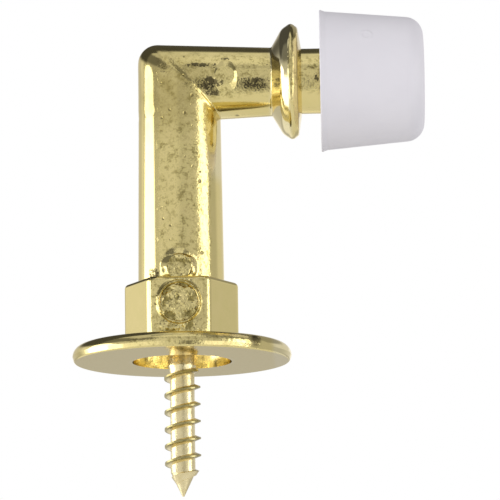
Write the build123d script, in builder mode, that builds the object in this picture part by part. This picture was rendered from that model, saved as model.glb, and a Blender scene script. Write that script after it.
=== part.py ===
from build123d import *
import os
from math import cos, hypot, radians, sin, sqrt, tan

os.makedirs("parts", exist_ok=True)

# Floor door stop: a cast angle post that screws into the floor and holds a rubber tip out to the
# door. Sizes are in millimetres. The origin is the centre of the flange's floor face, +Z runs up
# the post and +X runs out along the arm to the rubber tip.

# Flange that sits on the floor, with a recess that leaves room for raised wood round the screw
flange_radius = 13.0
flange_thickness = 1.9
flange_parting_height = 0.6
flange_draft_angle = 18.0
flange_top_round = 1.25
flange_foot_round = 0.25
recess_radius = 5.9
recess_depth = 1.2

# Hexagon that a spanner turns
hexagon_across_flats = 12.0
hexagon_height = 7.5
hexagon_edge_round = 1.15
hexagon_top_round = 0.55

# Drafted round post, and the arm that leaves it at a mitred elbow
post_foot_radius = 5.13
post_elbow_radius = 4.95
post_foot_fillet = 0.2
arm_height = 33.85
arm_elbow_radius = 4.62
arm_collar_radius = 4.14
elbow_corner_round = 2.3
elbow_inner_round = 0.4
elbow_mitre_angle = 51.0
elbow_ridge_angle = 8.0
elbow_plain_sections = 10
elbow_ridge_sections = 6

# Flared collar, neck and the hidden spigot that the rubber tip snaps over
collar_back_x = 14.75
collar_radius = 7.08
collar_length = 3.6
collar_knee_length = 2.35
collar_knee_drop = 0.78
collar_rim_length = 1.2
collar_shoulder_length = 0.42
collar_shoulder_drop = 0.6
collar_root_round = 0.3
collar_knee_round = 1.6
collar_rim_round = 0.6
collar_shoulder_round = 0.4
neck_radius = 3.93
neck_length = 2.25
spigot_radius = 2.6
spigot_length = 8.0
spigot_end_chamfer = 0.5
bead_radius = 3.3
bead_length = 1.8
bead_from_shoulder = 4.2

# Flat round spots left by the ejector pins of the casting die
arm_pin_radius = 1.15
arm_pin_x = 5.65
arm_pin_drop = 0.1
arm_pin_proud = 0.15
post_pin_radius = 1.45
post_pin_height = 1.2
post_pin_proud = 0.1
pin_flank_slope = 1.5
pin_flank_depth = 0.5
hexagon_pin_radius = 2.45
hexagon_pin_height = 4.4
hexagon_pin_depth = 0.25
hexagon_pin_burr = 0.2

# Rubber tip
tip_length = 12.4
tip_back_radius = 8.33
tip_front_radius = 7.3
tip_front_round = 2.2
tip_lip_height = 0.25
tip_lip_length = 0.7
tip_lip_round = 0.12
tip_grip_gap = 0.05
tip_socket_end_gap = 0.3

# Wood screw pressed into the base
screw_length = 16.0
screw_shank_radius = 1.65
screw_root_radius = 1.45
screw_point_length = 2.8
screw_point_radius = 0.12
screw_seat_depth = 6.5
screw_fit_gap = 0.02
screw_seat_end_gap = 0.3
thread_radius = 2.15
thread_pitch = 2.03
thread_end_above_point = 0.8
thread_fade_length = 3.4
thread_crest_width = 0.2
thread_flank_angle = 20.0
thread_buried_depth = 0.7
thread_start_depth = 0.5
thread_start_length = 1.0

# Places worked out from the sizes above
hexagon_top = flange_thickness + hexagon_height
collar_start_x = collar_back_x - collar_length
arm_draft = (arm_elbow_radius - arm_collar_radius) / collar_start_x
shoulder_x = collar_back_x + neck_length
bead_x = shoulder_x + bead_from_shoulder
bead_back_x = bead_x - bead_length / 2
bead_front_x = bead_x + bead_length / 2
spigot_end_x = shoulder_x + spigot_length
tip_front_x = shoulder_x + tip_length
screw_top_z = recess_depth + screw_seat_depth - screw_seat_end_gap
point_z = -screw_length
arm_axis = Axis((0, 0, arm_height), (1, 0, 0))
arm_plane = Plane(origin=(0, 0, arm_height), x_dir=(1, 0, 0), z_dir=(0, -1, 0))


def arm_radius_at(x):
    """Radius of the drafted arm at x from the post's axis."""
    return arm_elbow_radius - arm_draft * x


# Elbow: planes fan out from a line just inside the inner corner, from level up to the mitre
fan_x = post_elbow_radius + elbow_inner_round
fan_z = arm_height - arm_radius_at(post_elbow_radius) - elbow_inner_round
corner_x = elbow_corner_round - post_elbow_radius
corner_z = arm_height + arm_radius_at(corner_x) - elbow_corner_round * hypot(1, arm_draft)


def fan_direction(angle):
    """Unit vector that points across the elbow on the fan plane at an angle in degrees."""
    return (-cos(radians(angle)), 0, sin(radians(angle)))


def fan_normal(angle):
    """Unit vector along the elbow, square to the fan plane."""
    return (sin(radians(angle)), 0, cos(radians(angle)))


def reach_to_inside(angle):
    """Distance on the fan plane from its hinge line to the post's front or the arm's underside."""
    across, _, up = fan_direction(angle)
    reach_to_post = -elbow_inner_round / across
    arm_rise = arm_height - arm_radius_at(fan_x) - fan_z
    reach_to_arm = arm_rise / (up - arm_draft * across)
    return min(reach_to_post, reach_to_arm) if up > 0 else reach_to_post


def reach_to_outside(angle):
    """Distance on the fan plane from its hinge line to the back, round corner or top."""
    across, _, up = fan_direction(angle)
    reach_to_back = (fan_x + post_elbow_radius) / -across
    if fan_z + reach_to_back * up <= corner_z:
        return reach_to_back
    reach_to_top = (arm_height + arm_radius_at(fan_x) - fan_z) / (up + arm_draft * across)
    if fan_x + reach_to_top * across >= corner_x + elbow_corner_round * arm_draft:
        return reach_to_top
    along = (fan_x - corner_x) * across + (fan_z - corner_z) * up
    from_corner = hypot(fan_x - corner_x, fan_z - corner_z)
    return sqrt(along**2 - from_corner**2 + elbow_corner_round**2) - along


def elbow_half_width(angle):
    """Half width of the elbow, which steps down from the post to the slimmer arm at the mitre."""
    across = fan_direction(elbow_mitre_angle)[0]
    inner_x = fan_x + reach_to_inside(elbow_mitre_angle) * across
    outer_x = fan_x + reach_to_outside(elbow_mitre_angle) * across
    arm_half_width = sqrt(arm_radius_at(inner_x) * arm_radius_at(outer_x))
    ridge_start = elbow_mitre_angle - elbow_ridge_angle
    part_way = max(0, angle - ridge_start) / elbow_ridge_angle
    return arm_half_width + (post_elbow_radius - arm_half_width) * cos(radians(90 * part_way)) ** 2


def elbow_section_plane(angle):
    """Fan plane with its origin at the middle of the elbow's section."""
    across, _, up = fan_direction(angle)
    middle = (reach_to_inside(angle) + reach_to_outside(angle)) / 2
    return Plane(
        origin=(fan_x + middle * across, 0, fan_z + middle * up),
        x_dir=fan_direction(angle),
        z_dir=fan_normal(angle),
    )


ridge_start_angle = elbow_mitre_angle - elbow_ridge_angle
plain_angles = [
    ridge_start_angle * sin(radians(90 * step / elbow_plain_sections))
    for step in range(elbow_plain_sections)
]
ridge_angles = [
    ridge_start_angle + elbow_ridge_angle * step / elbow_ridge_sections
    for step in range(elbow_ridge_sections + 1)
]
with BuildPart() as elbow:
    for fan_angle in plain_angles + ridge_angles:
        half_depth = (reach_to_outside(fan_angle) - reach_to_inside(fan_angle)) / 2
        with BuildSketch(elbow_section_plane(fan_angle)):
            Ellipse(half_depth, elbow_half_width(fan_angle))
    loft()

# Arm: drafted bar, flared collar, neck and spigot, turned about one axis and cut at the mitre
arm_start_x = -2 * post_elbow_radius
with BuildPart() as arm:
    with BuildSketch(arm_plane):
        with BuildLine():
            FilletPolyline(
                (arm_start_x, arm_radius_at(arm_start_x)),
                (collar_start_x, arm_collar_radius),
                (collar_back_x - collar_knee_length, collar_radius - collar_knee_drop),
                (collar_back_x - collar_rim_length, collar_radius),
                (collar_back_x - collar_shoulder_length, collar_radius - collar_shoulder_drop),
                (collar_back_x, neck_radius),
                radius=(
                    collar_root_round, collar_knee_round, collar_rim_round, collar_shoulder_round
                ),
            )
            Polyline(
                (arm_start_x, arm_radius_at(arm_start_x)),
                (arm_start_x, 0),
                (spigot_end_x, 0),
                (spigot_end_x, spigot_radius - spigot_end_chamfer),
                (spigot_end_x - spigot_end_chamfer, spigot_radius),
                (bead_front_x, spigot_radius),
            )
            ThreePointArc(
                (bead_front_x, spigot_radius), (bead_x, bead_radius), (bead_back_x, spigot_radius)
            )
            Polyline(
                (bead_back_x, spigot_radius),
                (shoulder_x, spigot_radius),
                (shoulder_x, neck_radius),
                (collar_back_x, neck_radius),
            )
        make_face()
    revolve(axis=arm_axis)
    mitre = Plane(
        origin=(fan_x, 0, fan_z), x_dir=(0, 1, 0), z_dir=fan_normal(elbow_mitre_angle)
    )
    split(bisect_by=mitre, keep=Keep.TOP)

# Casting: flange, hexagon, post, elbow and arm in one piece
pin_align = (Align.CENTER, Align.CENTER, Align.MAX)
with BuildPart() as door_stop_body:
    flange_foot_radius = flange_radius - flange_parting_height * tan(radians(flange_draft_angle))
    with BuildSketch(Plane.XZ):
        with BuildLine():
            Polyline(
                (0, 0),
                (flange_foot_radius, 0),
                (flange_radius, flange_parting_height),
                (flange_radius, flange_thickness),
                (0, flange_thickness),
                close=True,
            )
        make_face()
    revolve(axis=Axis.Z)
    fillet(door_stop_body.edges().group_by(Axis.Z)[-1], flange_top_round)
    fillet(door_stop_body.edges().group_by(Axis.Z)[0], flange_foot_round)

    with BuildSketch(Plane.XY.offset(recess_depth)):
        RegularPolygon(hexagon_across_flats / 2, 6, major_radius=False)
    extrude(amount=hexagon_top - recess_depth)
    uprights = door_stop_body.edges().filter_by(Axis.Z)
    corners = uprights.filter_by(lambda edge: edge.length > hexagon_height / 2)
    fillet(corners, hexagon_edge_round)
    fillet(door_stop_body.edges().group_by(Axis.Z)[-1], hexagon_top_round)

    with BuildSketch(Plane.XY.offset(hexagon_top)):
        Circle(post_foot_radius)
    with BuildSketch(Plane.XY.offset(fan_z)):
        Circle(post_elbow_radius)
    loft()
    foot = door_stop_body.edges().filter_by(GeomType.CIRCLE).filter_by_position(
        Axis.Z, hexagon_top - 0.01, hexagon_top + 0.01
    )
    fillet(foot.filter_by(lambda edge: edge.radius == post_foot_radius), post_foot_fillet)
    add(elbow.part)
    add(arm.part)

    pin_foot = pin_flank_slope * pin_flank_depth
    arm_pin_front = -arm_radius_at(arm_pin_x) - arm_pin_proud
    with Locations(
        Plane((arm_pin_x, arm_pin_front, arm_height - arm_pin_drop), z_dir=(0, -1, 0))
    ):
        Cone(arm_pin_radius + pin_foot, arm_pin_radius, pin_flank_depth, align=pin_align)
    post_pin_front = -post_foot_radius - post_pin_proud
    with Locations(Plane((0, post_pin_front, hexagon_top + post_pin_height), z_dir=(0, -1, 0))):
        Cone(post_pin_radius + pin_foot, post_pin_radius, pin_flank_depth, align=pin_align)
    hexagon_pin_plane = Plane(
        (0, -hexagon_across_flats / 2, flange_thickness + hexagon_pin_height), z_dir=(0, -1, 0)
    )
    with Locations(hexagon_pin_plane):
        Torus(hexagon_pin_radius, hexagon_pin_burr)
        Cylinder(hexagon_pin_radius, hexagon_pin_depth, align=pin_align, mode=Mode.SUBTRACT)

    with BuildSketch():
        Circle(recess_radius)
    extrude(amount=recess_depth, mode=Mode.SUBTRACT)
    with BuildSketch(Plane.XY.offset(recess_depth)):
        Circle(screw_shank_radius + screw_fit_gap)
    extrude(amount=screw_seat_depth, mode=Mode.SUBTRACT)

# Thread: a ridge swept up a helix, trimmed to an outline that runs out on the point and shank
point_slope = (screw_root_radius - screw_point_radius) / screw_point_length
with BuildPart() as thread_ridge:
    helix = Helix(
        thread_pitch,
        screw_length - thread_end_above_point,
        screw_root_radius,
        center=(0, 0, point_z + thread_end_above_point),
    )
    ridge_height = thread_radius - screw_root_radius
    half_crest = thread_crest_width / 2
    buried_flank = ridge_height + thread_buried_depth
    half_foot = half_crest + buried_flank * tan(radians(thread_flank_angle))
    with BuildSketch(Plane(helix @ 0, x_dir=(1, 0, 0), z_dir=helix % 0)):
        with BuildLine():
            Polyline(
                (-thread_buried_depth, half_foot),
                (ridge_height, half_crest),
                (ridge_height, -half_crest),
                (-thread_buried_depth, -half_foot),
                close=True,
            )
        make_face()
    sweep(path=helix, is_frenet=True)
    fade_end = thread_end_above_point + half_foot
    with BuildSketch(Plane.XZ):
        with BuildLine():
            Polyline(
                (0, -thread_start_depth),
                (screw_shank_radius, -thread_start_depth),
                (thread_radius, -thread_start_depth - thread_start_length),
                (thread_radius, point_z + thread_fade_length),
                (screw_point_radius + point_slope * fade_end, point_z + fade_end),
                (0, point_z + fade_end),
                close=True,
            )
        make_face()
    revolve(axis=Axis.Z, mode=Mode.INTERSECT)

# Floor screw: plain shank that is pressed into the casting, root, point and thread
with BuildPart() as floor_screw:
    with BuildSketch(Plane.XZ):
        with BuildLine():
            Polyline(
                (0, screw_top_z),
                (screw_shank_radius, screw_top_z),
                (screw_shank_radius, -thread_start_depth),
                (screw_root_radius, -thread_start_depth - thread_start_length),
                (screw_root_radius, point_z + screw_point_length),
                (screw_point_radius, point_z),
                (0, point_z),
                close=True,
            )
        make_face()
    revolve(axis=Axis.Z)
    add(thread_ridge.part)

# Rubber tip: a tapered plug with a socket that follows the spigot and its bead
socket_radius = spigot_radius + tip_grip_gap
socket_end_x = spigot_end_x + tip_socket_end_gap
with BuildPart() as rubber_tip:
    with BuildSketch(arm_plane):
        with BuildLine():
            Polyline(
                (shoulder_x, 0),
                (shoulder_x, tip_back_radius + tip_lip_height),
                (shoulder_x + tip_lip_length, tip_back_radius),
                (tip_front_x, tip_front_radius),
                (tip_front_x, 0),
                close=True,
            )
        make_face()
    revolve(axis=arm_axis)
    fillet(rubber_tip.edges().group_by(Axis.X)[-1], tip_front_round)
    fillet(rubber_tip.edges().group_by(Axis.X)[0], tip_lip_round)
    with BuildSketch(arm_plane):
        with BuildLine():
            Polyline(
                (bead_front_x, socket_radius),
                (socket_end_x, socket_radius),
                (socket_end_x, 0),
                (shoulder_x, 0),
                (shoulder_x, socket_radius),
                (bead_back_x, socket_radius),
            )
            ThreePointArc(
                (bead_back_x, socket_radius),
                (bead_x, bead_radius + tip_grip_gap),
                (bead_front_x, socket_radius),
            )
        make_face()
    revolve(axis=arm_axis, mode=Mode.SUBTRACT)

door_stop_body.part.label = "door_stop_body"
floor_screw.part.label = "floor_screw"
rubber_tip.part.label = "rubber_tip"
for piece in (door_stop_body, floor_screw, rubber_tip):
    export_step(piece.part, f"parts/{piece.part.label}.step")
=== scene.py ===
import math

import bpy
from mathutils import Matrix, Vector

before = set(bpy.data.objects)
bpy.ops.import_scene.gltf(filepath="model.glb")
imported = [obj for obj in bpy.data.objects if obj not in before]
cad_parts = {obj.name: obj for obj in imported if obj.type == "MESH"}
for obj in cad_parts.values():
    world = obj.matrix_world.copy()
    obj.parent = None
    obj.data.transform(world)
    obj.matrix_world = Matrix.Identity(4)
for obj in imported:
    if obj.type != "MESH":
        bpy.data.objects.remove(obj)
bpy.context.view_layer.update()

# Studio.
# A plain pale floor below the camera, a white backdrop, plain panels of several greys
# all round, and oval softboxes left and right that the plating mirrors as bright bands.
scene = bpy.context.scene
scene.view_settings.view_transform = "Standard"
mm = 0.001


def linear(hex_colour):
    """An sRGB hex colour as linear red, green, blue and alpha."""
    parts = [int(hex_colour[i : i + 2], 16) / 255 for i in (1, 3, 5)]
    curve = [c / 12.92 if c <= 0.04045 else ((c + 0.055) / 1.055) ** 2.4 for c in parts]
    return (*curve, 1.0)


def add_node(tree, kind, inputs=None, **settings):
    """Adds a node, sets its properties, and sets or links its inputs."""
    node = tree.nodes.new(kind)
    for name, value in settings.items():
        setattr(node, name, value)
    for socket, value in (inputs or {}).items():
        if isinstance(value, bpy.types.NodeSocket):
            tree.links.new(value, node.inputs[socket])
        else:
            node.inputs[socket].default_value = value
    return node


# The camera stands a little to the right of square on; all azimuths are counted from it.
camera_turn = 1.6


def aim(azimuth, elevation):
    """Unit vector seen from the door stop; 0 is towards the camera, positive to its right."""
    side, rise = math.radians(azimuth + camera_turn), math.radians(elevation)
    level = math.cos(rise)
    return Vector((math.sin(side) * level, -math.cos(side) * level, math.sin(rise)))


world = bpy.data.worlds.new("studio_surroundings")
scene.world = world
world.use_nodes = True
air = world.node_tree
air.nodes.clear()
direction = add_node(air, "ShaderNodeTexCoord").outputs["Generated"]
along = add_node(air, "ShaderNodeSeparateXYZ", {"Vector": direction}).outputs
towards_camera = add_node(air, "ShaderNodeMath", {0: along["Y"], 1: -1.0},
                          operation="MULTIPLY").outputs[0]
turn = add_node(air, "ShaderNodeMath", {0: along["X"], 1: towards_camera},
                operation="ARCTAN2").outputs[0]
turn = add_node(air, "ShaderNodeMath", {0: turn, 1: math.radians(camera_turn)},
                operation="SUBTRACT").outputs[0]
rise = add_node(air, "ShaderNodeMath", {0: along["Z"]}, operation="ARCSINE").outputs[0]


def between(angle, low, high, soft):
    """1 where an angle lies between two limits in degrees, with soft edges."""
    limits = [math.radians(v) for v in (low - soft, low + soft, high - soft, high + soft)]
    up = add_node(air, "ShaderNodeMapRange",
                  {"Value": angle, "From Min": limits[0], "From Max": limits[1]},
                  interpolation_type="SMOOTHSTEP").outputs["Result"]
    down = add_node(air, "ShaderNodeMapRange",
                    {"Value": angle, "From Min": limits[2], "From Max": limits[3],
                     "To Min": 1.0, "To Max": 0.0},
                    interpolation_type="SMOOTHSTEP").outputs["Result"]
    return add_node(air, "ShaderNodeMath", {0: up, 1: down}, operation="MULTIPLY").outputs[0]


# Each panel has its azimuths, its elevations, its brightness and the softness of its edges,
# in degrees, and covers the ones before it. What no panel covers has the bare level.
panels = (
    ((-66, 0), (-90, 90), 0.73, 8),       # camera's side, left half
    ((0, 60), (-90, 90), 0.60, 8),        # camera's side, right half
    ((-190, -110), (-90, 90), 0.64, 8),   # far side, left half
    ((-133, -118), (-20, 20), 0.84, 4),   # pale strip beside the left softbox
    ((116, 200), (-90, 90), 0.70, 8),     # far side, right half
    ((-200, 200), (38, 95), 0.26, 4),     # dark ceiling
    ((-160, -30), (24, 52), 0.18, 4),     # darker above the left softbox
    ((-160, -30), (52, 80), 0.58, 4),     # grey over that
    ((-34, 34), (45, 95), 0.83, 5),       # pale ceiling over the camera
    ((-200, -100), (22, 75), 0.07, 5),    # black above the far left
    ((110, 200), (24, 46), 0.33, 4),      # dark above the far right
    ((110, 200), (46, 75), 0.07, 3),      # black over that
    ((-200, 200), (80, 95), 0.75, 4),     # pale straight above
    ((3, 15), (-45, 3), 0.07, 1.5),       # narrow black strip right of the camera
    ((-122, -65), (-40, -3), 2.0, 3),     # bright low panel under the left softbox
    ((-65, -24), (-40, -3), 1.05, 3),     # bright low panel, front left
    ((24, 76), (-38, -3), 1.35, 3),       # bright low panel, front right
    ((-200, -130), (-40, -3), 0.50, 5),   # grey low panel, far left
    ((110, 200), (-40, -3), 0.50, 5),     # grey low panel, far right
    ((-200, -120), (-95, -16), 0.90, 4),  # pale ground, far left
    ((110, 200), (-95, -20), 0.72, 4),    # pale ground, far right
)
bare_level, matt_level = 0.52, 0.70
level = bare_level
for azimuths, elevations, brightness, soft in panels:
    across, upright = between(turn, *azimuths, soft), between(rise, *elevations, soft)
    mask = add_node(air, "ShaderNodeMath", {0: across, 1: upright},
                    operation="MULTIPLY").outputs[0]
    level = add_node(air, "ShaderNodeMix",
                     {"Factor": mask, "A": level, "B": brightness}).outputs["Result"]

# Matt surfaces are lit evenly from all round; only mirroring ones see the panels.
rays = add_node(air, "ShaderNodeLightPath").outputs
mirrored = add_node(air, "ShaderNodeMath",
                    {0: rays["Is Glossy Ray"], 1: rays["Is Transmission Ray"]},
                    operation="MAXIMUM").outputs[0]
level = add_node(air, "ShaderNodeMix",
                 {"Factor": mirrored, "A": matt_level, "B": level}).outputs["Result"]
surroundings = add_node(air, "ShaderNodeBackground", {"Color": (1, 1, 1, 1), "Strength": level})

# The white backdrop shows to the camera, and behind the door stop also in what mirrors it.
right_behind = between(turn, 162, 200, 4)
left_behind = between(turn, -200, -166, 4)
behind = add_node(air, "ShaderNodeMath", {0: right_behind, 1: left_behind},
                  operation="MAXIMUM").outputs[0]
behind = add_node(air, "ShaderNodeMath", {0: behind, 1: between(rise, -3, 14, 3)},
                  operation="MULTIPLY").outputs[0]
backdrop = add_node(air, "ShaderNodeMath", {0: mirrored, 1: behind},
                    operation="MULTIPLY").outputs[0]
backdrop = add_node(air, "ShaderNodeMath", {0: backdrop, 1: rays["Is Camera Ray"]},
                    operation="MAXIMUM").outputs[0]
white = add_node(air, "ShaderNodeBackground", {"Color": (1, 1, 1, 1), "Strength": 1.0})
seen = add_node(air, "ShaderNodeMixShader",
                {0: backdrop, 1: surroundings.outputs[0], 2: white.outputs[0]})
add_node(air, "ShaderNodeOutputWorld", {"Surface": seen.outputs[0]})


def softbox(name, azimuth, elevation, width, height, radiance):
    """An oval lamp that faces the door stop, with its brightness as seen in a mirror."""
    middle, distance = Vector((5 * mm, 0, 15 * mm)), 600 * mm
    lamp = bpy.data.lights.new(name, "AREA")
    lamp.shape = "ELLIPSE"
    lamp.size, lamp.size_y = width * mm, height * mm
    lamp.energy = radiance * math.pi * lamp.size * lamp.size_y
    holder = bpy.data.objects.new(name, lamp)
    scene.collection.objects.link(holder)
    holder.location = middle + aim(azimuth, elevation) * distance
    holder.rotation_euler = (middle - holder.location).to_track_quat("-Z", "Y").to_euler()
    return holder


softbox("softbox_left", azimuth=-94, elevation=0, width=560, height=430, radiance=1.85)
softbox("softbox_right", azimuth=70, elevation=8, width=330, height=620, radiance=1.6)
# The third shapes the matt rubber from the front left; the plating doesn't mirror it.
front = softbox("softbox_front", azimuth=-50, elevation=-5, width=400, height=400, radiance=2.9)
front.visible_glossy = False

# The floor's paint fades out to nothing before the square's edge.
floor_z, floor_reach, floor_full = -120 * mm, 240 * mm, 120 * mm
floor_mesh = bpy.data.meshes.new("studio_floor")
corners = ((-1, -1), (1, -1), (1, 1), (-1, 1))
floor_mesh.from_pydata([(x * floor_reach, y * floor_reach, floor_z) for x, y in corners],
                       [], [(0, 1, 2, 3)])
floor = bpy.data.objects.new("studio_floor", floor_mesh)
scene.collection.objects.link(floor)
# Matt white paint: the eye sees a plain pale ground with a soft shadow.
paint = bpy.data.materials.new("matt_white_paint")
paint.use_nodes = True
tree = paint.node_tree
shader = tree.nodes["Principled BSDF"]
shader.inputs["Base Color"].default_value = linear("#f0f0ef")
shader.inputs["Roughness"].default_value = 0.8
place = add_node(tree, "ShaderNodeTexCoord").outputs["Object"]
level_place = add_node(tree, "ShaderNodeVectorMath", {0: place, 1: (1, 1, 0)},
                       operation="MULTIPLY").outputs[0]
radius = add_node(tree, "ShaderNodeVectorMath", {0: level_place},
                  operation="LENGTH").outputs["Value"]
fade = add_node(tree, "ShaderNodeMapRange",
                {"Value": radius, "From Min": floor_full, "From Max": floor_reach},
                interpolation_type="SMOOTHSTEP").outputs["Result"]
clear = add_node(tree, "ShaderNodeBsdfTransparent")
blend = add_node(tree, "ShaderNodeMixShader",
                 {0: fade, 1: shader.outputs[0], 2: clear.outputs[0]})
tree.links.new(blend.outputs[0], tree.nodes["Material Output"].inputs["Surface"])
floor_mesh.materials.append(paint)

# A long lens from a little below the flange, which shows the flange's underside.
camera_data = bpy.data.cameras.new("camera")
camera_data.sensor_fit = "HORIZONTAL"
camera_data.sensor_width = 36
camera_data.lens = 233.0
camera_data.clip_start = 10 * mm
camera = bpy.data.objects.new("camera", camera_data)
scene.collection.objects.link(camera)
camera_tilt, camera_roll = math.radians(10.32), math.radians(-0.81)
camera.matrix_world = (Matrix.Rotation(math.radians(camera_turn), 4, "Z")
                       @ Matrix.Translation((8.24 * mm, -380 * mm, -55.8 * mm))
                       @ Matrix.Rotation(math.pi / 2 + camera_tilt, 4, "X")
                       @ Matrix.Rotation(camera_roll, 4, "Z"))
scene.camera = camera


# Casting.
# One zinc die casting with a bright pale brass plating. The front half of the die left
# an orange-peel skin with fine pits, which the thin plating follows.
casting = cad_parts["door_stop_body"]
# Bright brass plate: the eye sees yellow mirror bands, broken up by grain and olive specks
# in front. A thin clear lacquer over it mirrors a little more sharply.
brass = bpy.data.materials.new("bright_brass_plate_on_die_casting")
brass.use_nodes = True
tree = brass.node_tree
shader = tree.nodes["Principled BSDF"]
shader.inputs["Metallic"].default_value = 1.0
shader.inputs["Specular Tint"].default_value = linear("#fff9e8")
shader.inputs["Coat Weight"].default_value = 0.2
shader.inputs["Coat Roughness"].default_value = 0.06
coordinates = add_node(tree, "ShaderNodeTexCoord").outputs
place = coordinates["Object"]


def near(centre, inner, outer, fall="SMOOTHSTEP"):
    """1 within the inner distance of a point, 0 beyond the outer one, all in millimetres."""
    away = add_node(tree, "ShaderNodeVectorMath", {0: place, 1: [v * mm for v in centre]},
                    operation="DISTANCE").outputs["Value"]
    return add_node(tree, "ShaderNodeMapRange",
                    {"Value": away, "From Min": outer * mm, "From Max": inner * mm},
                    interpolation_type=fall).outputs["Result"]


def strongest(masks):
    """The highest of several masks at each place."""
    highest = masks[0]
    for mask in masks[1:]:
        highest = add_node(tree, "ShaderNodeMath", {0: highest, 1: mask},
                           operation="MAXIMUM").outputs[0]
    return highest


# The casting's patterns, each with its real size: colour drift, orange peel, fine grain,
# lumps, and cells of which some hold a pit.
drift = add_node(tree, "ShaderNodeTexNoise",
                 {"Vector": place, "Scale": 1 / (1.6 * mm), "Detail": 2.0}).outputs["Fac"]
peel = add_node(tree, "ShaderNodeTexNoise",
                {"Vector": place, "Scale": 1 / (0.6 * mm), "Detail": 2.0}).outputs["Fac"]
grain = add_node(tree, "ShaderNodeTexNoise",
                 {"Vector": place, "Scale": 1 / (0.22 * mm), "Detail": 2.0}).outputs["Fac"]
lumps = add_node(tree, "ShaderNodeTexNoise",
                 {"Vector": place, "Scale": 1 / (1.1 * mm), "Detail": 2.5}).outputs["Fac"]
cells = add_node(tree, "ShaderNodeTexVoronoi",
                 {"Vector": place, "Scale": 1 / (0.9 * mm)}).outputs

# The rough skin covers what faces the front die half, and ends in a wavy line.
facing = add_node(tree, "ShaderNodeVectorMath", {0: coordinates["Normal"], 1: aim(8, 0)},
                  operation="DOT_PRODUCT").outputs["Value"]
skin_waves, skin_out, skin_full = 0.10, 0.80, 0.90
wavy = add_node(tree, "ShaderNodeMath", {0: drift, 1: skin_waves, 2: facing},
                operation="MULTIPLY_ADD").outputs[0]
skin = add_node(tree, "ShaderNodeMapRange",
                {"Value": wavy, "From Min": skin_out, "From Max": skin_full},
                interpolation_type="SMOOTHSTEP").outputs["Result"]

# Lumpy skin: in the ejector pin's mark on the hexagon, at the post's foot, below the mark.
lumpy = strongest([near(*patch) for patch in (((0, -6.0, 6.3), 2.3, 2.9),
                                              ((0, -5.4, 10.6), 1.2, 2.6),
                                              ((0, -6.0, 2.6), 1.5, 3.6))])

# Scattered pits of the rough skin: only the cells that draw a high number hold one.
chance = add_node(tree, "ShaderNodeSeparateColor", {"Color": cells["Color"]}).outputs["Red"]
least_chance, widest_pit, pit_slope = 0.66, 0.30, 0.14
width = add_node(tree, "ShaderNodeMapRange",
                 {"Value": chance, "From Min": least_chance, "From Max": 1.0,
                  "To Min": 0.0, "To Max": widest_pit}).outputs["Result"]
inside = add_node(tree, "ShaderNodeMath", {0: width, 1: cells["Distance"]},
                  operation="SUBTRACT").outputs[0]
scattered = add_node(tree, "ShaderNodeMapRange",
                     {"Value": inside, "From Min": 0.0, "From Max": pit_slope},
                     interpolation_type="SMOOTHSTEP").outputs["Result"]
scattered = add_node(tree, "ShaderNodeMath", {0: scattered, 1: skin},
                     operation="MULTIPLY").outputs[0]

# Single deep pits: where each one is and how far it reaches, in millimetres.
single_pits = (
    ((2.5, -4.4, 21.0), 0.34),    # post, half way up
    ((-1.7, -4.9, 10.3), 0.42),   # post's foot
    ((1.35, -5.0, 9.9), 0.36),    # post's foot
    ((-3.0, -5.7, 9.3), 0.50),    # hexagon's top edge
    ((-3.5, -4.1, 10.6), 0.34),   # post's foot, left
    ((7.0, -0.9, 29.5), 0.40),    # under the arm
    ((9.0, -9.2, 1.1), 1.10),     # flange's rim
)
pits = strongest([scattered] + [near(centre, reach / 3, reach) for centre, reach in single_pits])

# Heights of orange peel, grain and lumps and depth of pits, in millimetres.
peel_height, grain_height, lump_height, pit_depth = 0.040, 0.016, 0.62, 0.05
height = add_node(tree, "ShaderNodeMath", {0: peel, 1: peel_height},
                  operation="MULTIPLY").outputs[0]
height = add_node(tree, "ShaderNodeMath", {0: grain, 1: grain_height, 2: height},
                  operation="MULTIPLY_ADD").outputs[0]
local_lumps = add_node(tree, "ShaderNodeMath", {0: lumpy, 1: lump_height},
                       operation="MULTIPLY").outputs[0]
height = add_node(tree, "ShaderNodeMath", {0: lumps, 1: local_lumps, 2: height},
                  operation="MULTIPLY_ADD").outputs[0]
height = add_node(tree, "ShaderNodeMath", {0: height, 1: skin},
                  operation="MULTIPLY").outputs[0]
height = add_node(tree, "ShaderNodeMath", {0: pits, 1: -pit_depth, 2: height},
                  operation="MULTIPLY_ADD").outputs[0]
bump = add_node(tree, "ShaderNodeBump", {"Height": height, "Strength": 1.0, "Distance": mm})
tree.links.new(bump.outputs["Normal"], shader.inputs["Normal"])

# Low spots of the rough skin, in blotches, and the hollows between the lumps.
surface = add_node(tree, "ShaderNodeMath", {0: grain, 1: 0.7, 2: peel},
                   operation="MULTIPLY_ADD").outputs[0]
low = add_node(tree, "ShaderNodeMapRange",
               {"Value": surface, "From Min": 0.88, "From Max": 0.66}).outputs["Result"]
blotchy = add_node(tree, "ShaderNodeMapRange",
                   {"Value": drift, "From Min": 0.35, "From Max": 0.65,
                    "To Min": 0.25, "To Max": 0.85}).outputs["Result"]
low = add_node(tree, "ShaderNodeMath", {0: low, 1: blotchy}, operation="MULTIPLY").outputs[0]
hollow = add_node(tree, "ShaderNodeMapRange",
                  {"Value": lumps, "From Min": 0.52, "From Max": 0.38},
                  interpolation_type="SMOOTHSTEP").outputs["Result"]
hollow = add_node(tree, "ShaderNodeMath", {0: hollow, 1: lumpy},
                  operation="MULTIPLY").outputs[0]
low = add_node(tree, "ShaderNodeMath", {0: strongest([low, hollow]), 1: skin},
               operation="MULTIPLY").outputs[0]
in_pits = add_node(tree, "ShaderNodeMath", {0: pits, 1: 0.8}, operation="MULTIPLY").outputs[0]

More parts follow.
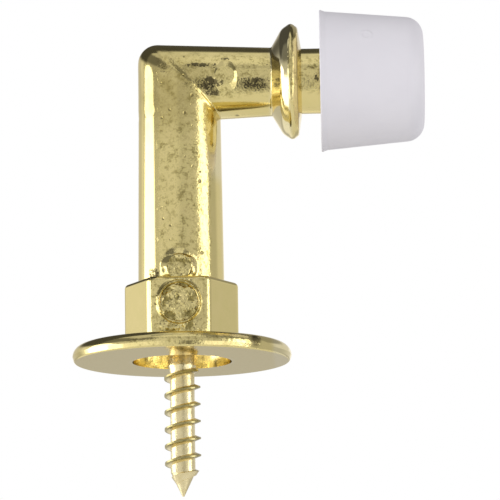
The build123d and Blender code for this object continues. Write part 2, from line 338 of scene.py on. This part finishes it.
# Painted reflection: the plate is painted paler in inside corners, where the casting mirrors
# itself, so these reflections come out less deep yellow:
# a ring round the arm's end at the collar, the post's side below the arm, and the recess. What
# faces the viewer is left out.
arm_end, ring_inner, ring_outer = 12.2 * mm, 0.9 * mm, 1.6 * mm
from_end = add_node(tree, "ShaderNodeSeparateXYZ", {"Vector": place}).outputs["X"]
from_end = add_node(tree, "ShaderNodeMath", {0: from_end, 1: arm_end},
                    operation="SUBTRACT").outputs[0]
from_end = add_node(tree, "ShaderNodeMath", {0: from_end}, operation="ABSOLUTE").outputs[0]
arm_ring = add_node(tree, "ShaderNodeMapRange",
                    {"Value": from_end, "From Min": ring_outer, "From Max": ring_inner},
                    interpolation_type="SMOOTHSTEP").outputs["Result"]
paler_painted_reflection = strongest([arm_ring, near((4.8, -1.5, 25.5), 3.0, 5.0),
                            near((0, 0, 0), 5.7, 6.6)])
sideways = add_node(tree, "ShaderNodeMapRange",
                    {"Value": facing, "From Min": 0.90, "From Max": 0.62,
                     "To Max": 0.95}).outputs["Result"]
paler_painted_reflection = add_node(tree, "ShaderNodeMath", {0: paler_painted_reflection, 1: sideways},
                          operation="MULTIPLY").outputs[0]

# The elbow's front is duller than the post below it.
dull = add_node(tree, "ShaderNodeMath",
                {0: near((-1.5, -4.8, 32), 2, 7, "LINEAR"), 1: drift},
                operation="MULTIPLY").outputs[0]

# Dark broken patches on the front, one of them painted shade beside the rubber tip: centre and
# half sizes along the arm and upwards, in mm.
dark_patch_places = (
    (9.2, 32.65, 2.6, 1.3),     # arm, towards the collar
    (3.6, 32.85, 2.3, 1.3),     # arm, at the elbow
    (4.2, 31.8, 1.3, 0.9),      # arm, at the elbow and lower
    (16.6, 33.3, 0.5, 0.9),     # neck beside the rubber tip, painted shade of the tip
    (2.6, 35.15, 2.8, 0.4),     # arm, a thin one above
    (5.6, 35.9, 0.9, 0.45),     # arm, a small one above that
    (-3.1, 10.0, 1.2, 1.0),     # post's foot, left
)
front_y, half_y = -4.4, 2.0
dark_patches = []
for x, z, half_x, half_z in dark_patch_places:
    centre, half_sizes = (x, front_y, z), (half_x, half_y, half_z)
    shifted = add_node(tree, "ShaderNodeVectorMath", {0: place, 1: [v * mm for v in centre]},
                       operation="SUBTRACT").outputs[0]
    scaled = add_node(tree, "ShaderNodeVectorMath",
                      {0: shifted, 1: [1 / (v * mm) for v in half_sizes]},
                      operation="MULTIPLY").outputs[0]
    away = add_node(tree, "ShaderNodeVectorMath", {0: scaled},
                    operation="LENGTH").outputs["Value"]
    dark_patches.append(add_node(tree, "ShaderNodeMapRange",
                           {"Value": away, "From Min": 1.0, "From Max": 0.4}).outputs["Result"])
ragged = add_node(tree, "ShaderNodeMath", {0: peel, 1: grain}, operation="ADD").outputs[0]
ragged = add_node(tree, "ShaderNodeMath", {0: strongest(dark_patches), 1: 0.55, 2: ragged},
                  operation="MULTIPLY_ADD").outputs[0]
darkened = add_node(tree, "ShaderNodeMapRange",
                   {"Value": ragged, "From Min": 1.33, "From Max": 1.54, "To Max": 0.9},
                   interpolation_type="SMOOTHSTEP").outputs["Result"]

# The plate drifts a little between yellow and olive, and each layer covers it where it is.
tone = add_node(tree, "ShaderNodeMix",
                {"Factor": drift, "A": linear("#f0dd9c"), "B": linear("#e6d790")},
                data_type="RGBA").outputs["Result"]
for where, colour in ((low, "#9c8d50"),              # dull tarnish in the low spots
                      (in_pits, "#665a34"),          # darker tarnish in the pits
                      (paler_painted_reflection, "#f1e5b8"),   # painted paler reflection in the inside corners
                      (dull, "#aa9858"),             # dull elbow
                      (darkened, "#4a4128")):         # dark patches, and painted shade beside the rubber tip
    tone = add_node(tree, "ShaderNodeMix", {"Factor": where, "A": tone, "B": linear(colour)},
                    data_type="RGBA").outputs["Result"]
tree.links.new(tone, shader.inputs["Base Color"])
smooth_roughness, skin_adds = 0.11, 0.08
shine = add_node(tree, "ShaderNodeMath", {0: skin, 1: skin_adds, 2: smooth_roughness},
                 operation="MULTIPLY_ADD").outputs[0]
tree.links.new(shine, shader.inputs["Roughness"])
casting.data.materials.clear()
casting.data.materials.append(brass)


# Floor screw.
# A wood screw of brass-plated steel with a rolled thread. Its shank is fixed in the blind
# hole in the casting's foot.
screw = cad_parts["floor_screw"]
# Brass plate on a rolled thread: the eye sees a paler, blotchy shine and olive crests.
plated = bpy.data.materials.new("bright_brass_plate_on_steel")
plated.use_nodes = True
tree = plated.node_tree
shader = tree.nodes["Principled BSDF"]
shader.inputs["Metallic"].default_value = 1.0
place = add_node(tree, "ShaderNodeTexCoord").outputs["Object"]
blotch = add_node(tree, "ShaderNodeTexNoise",
                  {"Vector": place, "Scale": 1 / (0.7 * mm), "Detail": 3.0}).outputs["Fac"]
grain = add_node(tree, "ShaderNodeTexNoise",
                 {"Vector": place, "Scale": 1 / (0.3 * mm), "Detail": 2.0}).outputs["Fac"]
grain_height = 0.03 * mm
bump = add_node(tree, "ShaderNodeBump",
                {"Height": grain, "Strength": 1.0, "Distance": grain_height})
tree.links.new(bump.outputs["Normal"], shader.inputs["Normal"])

# The plate is darker and more olive on the thread's crests, the farthest from the axis.
crest_start, crest_full = 1.7 * mm, 2.0 * mm
across = add_node(tree, "ShaderNodeVectorMath", {0: place, 1: (1, 1, 0)},
                  operation="MULTIPLY").outputs[0]
from_axis = add_node(tree, "ShaderNodeVectorMath", {0: across},
                     operation="LENGTH").outputs["Value"]
crest = add_node(tree, "ShaderNodeMapRange",
                 {"Value": from_axis, "From Min": crest_start, "From Max": crest_full,
                  "To Max": 0.75}, interpolation_type="SMOOTHSTEP").outputs["Result"]
tone = add_node(tree, "ShaderNodeMix",
                {"Factor": blotch, "A": linear("#fff2c6"), "B": linear("#dbc890")},
                data_type="RGBA").outputs["Result"]
tone = add_node(tree, "ShaderNodeMix", {"Factor": crest, "A": tone, "B": linear("#968c56")},
                data_type="RGBA").outputs["Result"]
tree.links.new(tone, shader.inputs["Base Color"])
least_roughness, blotch_adds = 0.21, 0.14
shine = add_node(tree, "ShaderNodeMath", {0: blotch, 1: blotch_adds, 2: least_roughness},
                 operation="MULTIPLY_ADD").outputs[0]
tree.links.new(shine, shader.inputs["Roughness"])
screw.data.materials.clear()
screw.data.materials.append(plated)


# Rubber tip.
# A bumper moulded in one piece from pale grey rubber, pushed over the bead of the
# casting's spigot until it rests on the collar.
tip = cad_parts["rubber_tip"]
# Pale rubber: the eye sees a matt white-grey with a very soft sheen and a faint cloudiness.
rubber = bpy.data.materials.new("moulded_pale_rubber")
rubber.use_nodes = True
tree = rubber.node_tree
shader = tree.nodes["Principled BSDF"]
shader.inputs["Roughness"].default_value = 0.5
shader.inputs["IOR"].default_value = 1.5
place = add_node(tree, "ShaderNodeTexCoord").outputs["Object"]
cloud = add_node(tree, "ShaderNodeTexNoise",
                 {"Vector": place, "Scale": 1 / (4.0 * mm), "Detail": 2.0}).outputs["Fac"]
tone = add_node(tree, "ShaderNodeMix",
                {"Factor": cloud, "A": linear("#dfdce2"), "B": linear("#d8d5dc")},
                data_type="RGBA").outputs["Result"]
tree.links.new(tone, shader.inputs["Base Color"])

# The mould left a fine matt texture, and a faint ring 1.2 mm across at its gate.
gate_centre = (22.55 * mm, -6.8 * mm, 37.75 * mm)
gate_radius, gate_width, gate_share = 0.6 * mm, 0.3 * mm, 12.0
texture_height = 0.004 * mm
matt = add_node(tree, "ShaderNodeTexNoise",
                {"Vector": place, "Scale": 1 / (0.3 * mm), "Detail": 2.0}).outputs["Fac"]
away = add_node(tree, "ShaderNodeVectorMath", {0: place, 1: gate_centre},
                operation="DISTANCE").outputs["Value"]
away = add_node(tree, "ShaderNodeMath", {0: away, 1: gate_radius},
                operation="SUBTRACT").outputs[0]
away = add_node(tree, "ShaderNodeMath", {0: away}, operation="ABSOLUTE").outputs[0]
ring = add_node(tree, "ShaderNodeMapRange",
                {"Value": away, "From Min": gate_width, "From Max": 0.0,
                 "To Max": gate_share}, interpolation_type="SMOOTHSTEP").outputs["Result"]
height = add_node(tree, "ShaderNodeMath", {0: matt, 1: ring}, operation="ADD").outputs[0]
bump = add_node(tree, "ShaderNodeBump",
                {"Height": height, "Strength": 1.0, "Distance": texture_height})
tree.links.new(bump.outputs["Normal"], shader.inputs["Normal"])
tip.data.materials.clear()
tip.data.materials.append(rubber)
